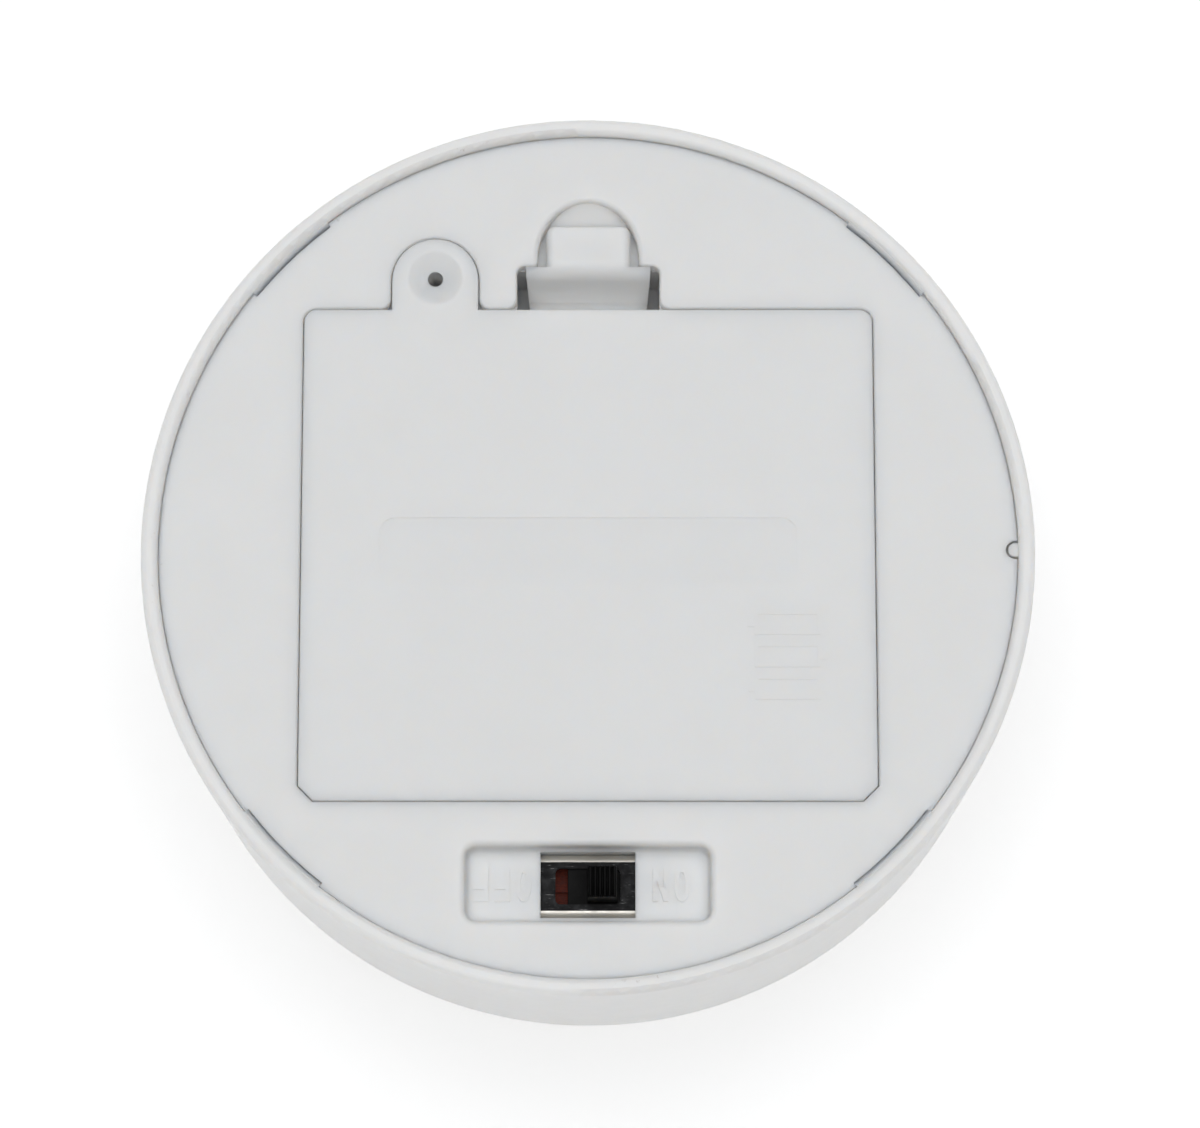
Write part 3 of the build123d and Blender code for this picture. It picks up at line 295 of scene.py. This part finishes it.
FINISH = {
    "plate": white_abs("white_abs_plate", specks=0.75),
    "shell": white_abs("white_abs_shell", specks=0.55),
    "door": white_abs("white_abs_door"),
    "opal": opal_acrylic(),
    "reflector": matte("reflector_white", rgb(0.78, 0.78, 0.76), rgb(0.74, 0.74, 0.72), 0.45),
    "mask": solder_mask(),
    "phosphor": matte("led_phosphor", rgb(0.80, 0.60, 0.10), rgb(0.84, 0.68, 0.20), 0.35),
    "led_body": matte("led_body", rgb(0.80, 0.80, 0.78), rgb(0.74, 0.74, 0.72), 0.4),
    "ceramic": matte("chip_ceramic", rgb(0.03, 0.03, 0.032), rgb(0.05, 0.05, 0.05), 0.5),
    "zinc": metal("zinc_steel", rgb(0.62, 0.64, 0.68), rgb(0.42, 0.42, 0.40), 0.30),
    "strip": metal("nickel_strip", rgb(0.66, 0.63, 0.57), rgb(0.40, 0.36, 0.30), 0.26),
    "wire": metal("nickel_wire", rgb(0.64, 0.62, 0.58), rgb(0.36, 0.33, 0.28), 0.24),
    "can": metal("cell_steel", rgb(0.62, 0.62, 0.60), rgb(0.42, 0.41, 0.38), 0.25),
    "solder": metal("solder", rgb(0.60, 0.60, 0.61), rgb(0.42, 0.42, 0.42), 0.28),
    "tinned": metal("tinned_brass", rgb(0.66, 0.63, 0.55), rgb(0.42, 0.34, 0.20), 0.30),
    "bronze": metal("phosphor_bronze", rgb(0.62, 0.38, 0.18), rgb(0.30, 0.17, 0.08), 0.30),
    "steel": blackened_steel(),
    "phenolic": phenolic(),
    "black": matte(
        "switch_black", rgb(0.0015, 0.0015, 0.0015), rgb(0.004, 0.004, 0.004), 0.42, specular=0.06
    ),
    "red": matte("lead_red", rgb(0.42, 0.012, 0.012), rgb(0.36, 0.010, 0.010), 0.36),
    "dark": matte("lead_black", rgb(0.012, 0.012, 0.013), rgb(0.020, 0.020, 0.020), 0.36),
    "film_right": cell_film(1),
    "film_left": cell_film(-1),
    "gasket": matte("insulator_ring", rgb(0.62, 0.62, 0.58), rgb(0.55, 0.55, 0.52), 0.5),
}

CAD_FINISHES = {
    "housing_shell": "shell",
    "base_plate": "plate",
    "battery_door": "door",
    "door_latch": "door",
    "diffuser_lens": "opal",
    "reflector": "reflector",
    "led_board": "mask",
    "board_screws": "zinc",
    "contact_positive": "strip",
    "contact_negative": "strip",
    "contact_bridge_left": "strip",
    "contact_bridge_right": "strip",
    "cell_can_upper": "can",
    "cell_can_middle": "can",
    "cell_can_lower": "can",
    "cell_jacket_upper": "film_right",
    "cell_jacket_middle": "film_left",
    "cell_jacket_lower": "film_right",
    "switch_frame": "steel",
    "switch_base": "phenolic",
    "switch_terminals": "tinned",
    "switch_wiper": "bronze",
    "lead_positive": "red",
    "lead_switched": "red",
    "lead_negative": "dark",
}


def finish_cad_nodes():
    for node, finish in CAD_FINISHES.items():
        slots = NODES[node].data.materials
        slots.clear()
        slots.append(FINISH[finish])


# --- mesh helpers -------------------------------------------------------------------------
def piece(name, body, finishes, shape=None, curve=None):
    """Make an object from a bmesh or a curve, give it finishes, and let it ride on a body."""
    if curve is None:
        data = bpy.data.meshes.new(name)
        shape.to_mesh(data)
        shape.free()
        data.shade_smooth()
    else:
        data = curve
    for finish in finishes:
        data.materials.append(FINISH[finish])
    made = bpy.data.objects.new(name, data)
    bpy.context.scene.collection.objects.link(made)
    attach(made, body)
    return made


def bevel(target, width, segments=2):
    """Round every edge sharper than 40 degrees."""
    rounding = target.modifiers.new("edges", "BEVEL")
    rounding.width = width
    rounding.segments = segments
    rounding.limit_method = "ANGLE"
    rounding.angle_limit = math.radians(40)
    rounding.harden_normals = True


def turn(shape, profile, place, material=0, steps=32):
    """Revolve (radius, height) pairs about a local Z placed by a matrix."""
    rings = []
    for radius, height in profile:
        if radius == 0:
            rings.append([shape.verts.new(place @ Vector((0, 0, height)))])
            continue
        ring = []
        for step in range(steps):
            angle = math.tau * step / steps
            point = Vector((radius * math.cos(angle), radius * math.sin(angle), height))
            ring.append(shape.verts.new(place @ point))
        rings.append(ring)
    for lower, upper in zip(rings, rings[1:]):
        for step in range(steps):
            after = (step + 1) % steps
            corners = [lower[step % len(lower)], lower[after % len(lower)],
                       upper[after % len(upper)], upper[step % len(upper)]]
            face = shape.faces.new(list(dict.fromkeys(corners)))
            face.material_index = material


BLOCK_FACES = ((0, 1, 3, 2), (4, 6, 7, 5), (0, 4, 5, 1), (2, 3, 7, 6), (0, 2, 6, 4), (1, 5, 7, 3))


def block(shape, low, high, material=0):
    """Add a box between two corners."""
    corners = [
        shape.verts.new((x, y, z)) for x in (low[0], high[0]) for y in (low[1], high[1])
        for z in (low[2], high[2])
    ]
    for indices in BLOCK_FACES:
        face = shape.faces.new([corners[index] for index in indices])
        face.material_index = material


# --- battery contacts: real coils in place of the cone envelopes --------------------------
WIRE_R = 0.25 * MM
COIL_TURNS = 4.5
COIL_STEPS = 28
COIL_TAPER = 1.0 * MM
NUB_H = 1.5 * MM
FLAT_TURNS = 0.75


def contact_coil(which):
    low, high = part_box(f"contact_spring_{which}")
    cell_low, cell_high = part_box(f"cell_can_{which}")
    flat_is_low = abs(low.x - cell_high.x) > abs(high.x - cell_low.x)
    centre = (low + high) / 2
    wide_r = (high.y - low.y) / 2 - WIRE_R
    narrow_r = wide_r - COIL_TAPER
    base_x, tip_x = (low.x, high.x) if flat_is_low else (high.x, low.x)
    lift = math.copysign(WIRE_R, tip_x - base_x)
    count = int(COIL_TURNS * COIL_STEPS)
    curve = bpy.data.curves.new(f"spring_coil_{which}", "CURVE")
    curve.dimensions = "3D"
    curve.bevel_depth = WIRE_R
    curve.bevel_resolution = 4
    curve.use_fill_caps = True
    spline = curve.splines.new("POLY")
    spline.points.add(count)
    for index, point in enumerate(spline.points):
        share = index / count
        # The first and last three quarters of a turn lie flat.
        rise = (share * COIL_TURNS - FLAT_TURNS) / (COIL_TURNS - 2 * FLAT_TURNS)
        rise = min(1, max(0, rise))
        radius = wide_r + (narrow_r - wide_r) * rise
        angle = math.tau * share * COIL_TURNS
        x = base_x + lift + (tip_x - base_x - 2 * lift) * rise
        point.co = (x, centre.y + radius * math.cos(angle), centre.z + radius * math.sin(angle), 1)
    coil = piece(f"spring_coil_{which}", "housing", ["wire"], curve=curve)
    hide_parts(f"contact_spring_{which}")


def cell_insulator(which):
    """The grey washer round a cell's nub."""
    low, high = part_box(f"cell_can_{which}")
    side = 1 if which != "middle" else -1
    shoulder_x = (high.x if side > 0 else low.x) - side * NUB_H
    place = Matrix.Translation((shoulder_x, (low.y + high.y) / 2, (low.z + high.z) / 2))
    place = place @ Matrix.Rotation(side * math.pi / 2, 4, "Y")
    shape = bmesh.new()
    outer, inner, thick, sunk = 5.6 * MM, 3.3 * MM, 0.22 * MM, -0.05 * MM
    profile = [(inner, sunk), (inner, thick), (outer, thick), (outer + 0.2 * MM, sunk)]
    turn(shape, profile, place, 0, 48)
    bmesh.ops.recalc_face_normals(shape, faces=shape.faces)
    piece(f"cell_insulator_{which}", "housing", ["gasket"], shape)


# --- LEDs and chip resistors --------------------------------------------------------------
LED_COUNT = 6
LED_RING_R = 18 * MM
RESISTOR_COUNT = 3
RESISTOR_RING_R = 10 * MM


def local_block(shape, place, low, high, material=0):
    """A box in a rotated local frame."""
    before = set(shape.verts)
    block(shape, low, high, material)
    fresh = [vert for vert in shape.verts if vert not in before]
    bmesh.ops.transform(shape, matrix=place, verts=fresh)


def led_packages():
    low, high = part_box("led_chips")
    shape = bmesh.new()
    half_l, half_w, depth = 1.75 * MM, 1.4 * MM, high.z - low.z
    # The phosphor lies just inside the package's lower face.
    phosphor = [
        (0, -depth + 0.06 * MM), (0.6 * MM, -depth + 0.05 * MM), (1.1 * MM, -depth + 0.01 * MM),
        (1.15 * MM, -depth),
    ]
    for index in range(LED_COUNT):
        angle = math.tau * index / LED_COUNT
        spin = Matrix.Rotation(angle, 4, "Z") @ Matrix.Translation((LED_RING_R, 0, high.z))
        body_l = half_l - 0.25 * MM
        local_block(shape, spin, (-body_l, -half_w, -depth), (body_l, half_w, 0))
        for side in (-1, 1):
            x_inner, x_outer = sorted((side * (half_l - 0.24 * MM), side * half_l))
            local_block(shape, spin, (x_inner, -0.9 * MM, -0.25 * MM), (x_outer, 0.9 * MM, 0), 2)
        turn(shape, phosphor, spin, 1, 24)
    bmesh.ops.recalc_face_normals(shape, faces=shape.faces)
    made = piece("led_packages", "housing", ["led_body", "phosphor", "solder"], shape)
    bevel(made, 0.06 * MM)
    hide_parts("led_chips")


def chip_resistors():
    low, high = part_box("board_resistors")
    shape = bmesh.new()
    half_l, half_w, depth = 1.6 * MM, 0.8 * MM, high.z - low.z
    for index in range(RESISTOR_COUNT):
        angle = math.tau * index / RESISTOR_COUNT + math.radians(30)
        spin = Matrix.Rotation(angle, 4, "Z") @ Matrix.Translation((RESISTOR_RING_R, 0, high.z))
        body_l = half_l - 0.42 * MM
        inset = 0.03 * MM
        body_low = (-body_l, -half_w + inset, -depth + inset)
        local_block(shape, spin, body_low, (body_l, half_w - inset, 0))
        for side in (-1, 1):
            x_inner, x_outer = sorted((side * body_l, side * half_l))
            local_block(shape, spin, (x_inner, -half_w, -depth), (x_outer, half_w, 0), 1)
    made = piece("chip_resistors", "housing", ["ceramic", "solder"], shape)
    bevel(made, 0.05 * MM)
    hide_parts("board_resistors")


# --- switch knob --------------------------------------------------------------------------
KNOB_RIBS = 6
RIB_STEPS = 6
RIB_DEPTH = 0.26 * MM
SLIDER_T = 1.2 * MM
LIP_DROP = 0.14 * MM
LIP_INSET = 0.12 * MM


def ribbed_knob():
    """The slider and its knob, whose top has rounded ribs that run across the slide."""
    shape = bmesh.new()
    block(shape, knob_low, (knob_high.x, knob_high.y, knob_low.z + SLIDER_T))
    mid_x = (knob_low.x + knob_high.x) / 2
    base_half_x, top_half_x = 1.50 * MM, 1.42 * MM
    base_half_y, top_half_y = 1.65 * MM, 1.56 * MM
    foot_z = knob_low.z + SLIDER_T - 0.05 * MM
    rib_foot_z = knob_high.z - RIB_DEPTH
    count = KNOB_RIBS * RIB_STEPS
    crest = []
    for step in range(count + 1):
        share = step / count
        wave = abs(math.sin(math.pi * KNOB_RIBS * share)) ** 0.6
        x = mid_x - top_half_x + 2 * top_half_x * share
        crest.append((x, rib_foot_z + RIB_DEPTH * wave))
    sides = []
    for side in (-1, 1):
        foot_y, top_y = SWITCH_Y + side * base_half_y, SWITCH_Y + side * top_half_y
        lip_y = top_y - side * LIP_INSET
        foot = [shape.verts.new((mid_x + end * base_half_x, foot_y, foot_z)) for end in (-1, 1)]
        edge = [shape.verts.new((x, top_y, z - LIP_DROP)) for x, z in crest]
        top = [shape.verts.new((x, lip_y, z)) for x, z in crest]
        shape.faces.new([foot[0], foot[1]] + edge[::-1])
        for a, b, c, d in zip(edge, edge[1:], top[1:], top):
            shape.faces.new((a, b, c, d))
        sides.append((foot, edge, top))
    (foot_a, edge_a, top_a), (foot_b, edge_b, top_b) = sides
    for a, b, c, d in zip(top_a, top_a[1:], top_b[1:], top_b):
        shape.faces.new((a, b, c, d))
    for end in (0, -1):
        shape.faces.new((foot_a[end], edge_a[end], top_a[end], top_b[end], edge_b[end], foot_b[end]))
    shape.faces.new((foot_a[0], foot_a[1], foot_b[1], foot_b[0]))
    bmesh.ops.recalc_face_normals(shape, faces=shape.faces)
    made = piece("switch_knob_ribbed", "switch_slider", ["black"], shape)
    bevel(made, 0.07 * MM, 3)
    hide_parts("switch_knob")


# --- solder joints ------------------------------------------------------------------------
def solder_joint(name, centre, wide, tall):
    """A wetted fillet of solder rising round a lead's end, on its pad."""
    profile = [
        (wide * 1.15, 0.0), (wide, 0.04 * MM), (wide * 0.72, tall * 0.22), (wide * 0.56, tall * 0.55),
        (wide * 0.46, tall * 0.82), (wide * 0.28, tall * 0.97), (0, tall),
    ]
    shape = bmesh.new()
    turn(shape, profile, Matrix.Translation(centre), 0, 28)
    bmesh.ops.recalc_face_normals(shape, faces=shape.faces)
    piece(name, "housing", ["solder"], shape)


def solder_joints():
    for name in ("lead_positive", "lead_switched"):
        low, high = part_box(name)
        foot = [vert.co for vert in NODES[name].data.vertices if vert.co.z < low.z + 0.1 * MM]
        centre = sum(foot, Vector()) / len(foot)
        centre.z = board_high.z
        solder_joint(f"solder_{name}", centre, 1.3 * MM, 1.5 * MM)
    for which, x in (("left", pin_low.x + 0.2 * MM), ("right", pin_high.x - 0.2 * MM)):
        place = Vector((x, SWITCH_Y, pin_low.z - 0.35 * MM))
        solder_joint(f"solder_pin_{which}", place, 0.95 * MM, 1.3 * MM)


# --- floor, light and camera --------------------------------------------------------------
FLOOR_Z = -0.05 * MM
COVE_INNER_R, COVE_OUTER_R, COVE_H = 0.75, 1.3, 0.26
COVE_STEPS = 10
GLOW_INNER_R, GLOW_OUTER_R = 0.55, 1.15


def floor():
    """A round paper floor whose outer edge curves up into a low cove."""
    profile = [(0, FLOOR_Z)]
    for step in range(COVE_STEPS + 1):
        angle = math.pi / 2 * step / COVE_STEPS
        radius = COVE_INNER_R + (COVE_OUTER_R - COVE_INNER_R) * math.sin(angle)
        profile.append((radius, FLOOR_Z + COVE_H * (1 - math.cos(angle))))
    shape = bmesh.new()
    turn(shape, profile, Matrix.Identity(4), 0, 96)
    data = bpy.data.meshes.new("floor")
    shape.to_mesh(data)
    shape.free()
    data.shade_smooth()
    ground = bpy.data.objects.new("floor", data)
    bpy.context.scene.collection.objects.link(ground)
    g = Graph("floor_paper")
    paper = g.mix(g.noise(3.0, 3.0), rgb(0.93, 0.93, 0.93), rgb(0.90, 0.90, 0.90))
    g.set(Base_Color=paper, Roughness=0.85)
    # The middle of the floor glows most, which keeps it white under the light.
    glow = g.band(g.radius(), GLOW_INNER_R, GLOW_OUTER_R, 0.30, 0.10)
    g.set(Emission_Color=rgb(1.0, 1.0, 1.0), Emission_Strength=glow)
    data.materials.append(g.material)


def soft_box(name, place, target, size, power, colour):
    data = bpy.data.lights.new(name, "AREA")
    data.shape = "RECTANGLE"
    data.size, data.size_y = size
    data.energy = power
    data.color = colour
    lamp = bpy.data.objects.new(name, data)
    bpy.context.scene.collection.objects.link(lamp)
    lamp.location = place
    lamp.rotation_euler = (Vector(target) - Vector(place)).to_track_quat("-Z", "Y").to_euler()


WORLD_STRENGTH = 0.04
KEY_PLACE, KEY_POWER = (-0.22, -1.05, 0.85), 0.8
OVERHEAD_PLACE, OVERHEAD_POWER = (0.0, 0.1, 1.4), 20.0


def lighting():
    world = bpy.data.worlds.new("studio")
    bpy.context.scene.world = world
    world.use_nodes = True
    background = world.node_tree.nodes["Background"]
    background.inputs["Color"].default_value = rgb(0.96, 0.98, 1.0)
    background.inputs["Strength"].default_value = WORLD_STRENGTH
    soft_box("key_near_left", KEY_PLACE, (0, 0, 0.02), (1.2, 1.0), KEY_POWER, (1.0, 0.99, 0.975))
    soft_box("overhead", OVERHEAD_PLACE, (0, 0, 0), (1.6, 1.6), OVERHEAD_POWER, (0.988, 0.994, 1.0))


CAMERA_TILT = math.radians(11.6457)
CAMERA_PLACE = (1.202 * MM, -89.15 * MM, 424.53 * MM)
CAMERA_LENS = 129.56


def camera():
    """The lens looks down at the base, from a little towards the switch."""
    data = bpy.data.cameras.new("camera")
    data.sensor_width = 36.0
    data.lens = CAMERA_LENS
    data.clip_start = 0.01
    eye = bpy.data.objects.new("camera", data)
    bpy.context.scene.collection.objects.link(eye)
    eye.location = Vector(CAMERA_PLACE) + Vector((0, 0, LIP_Z))
    eye.rotation_euler = (CAMERA_TILT, 0, 0)
    bpy.context.scene.camera = eye
    bpy.context.scene.view_settings.view_transform = "Standard"


# --- build --------------------------------------------------------------------------------
finish_cad_nodes()
for which in ("upper", "middle", "lower"):
    contact_coil(which)
    cell_insulator(which)
led_packages()
chip_resistors()
ribbed_knob()
solder_joints()
floor()
lighting()
camera()
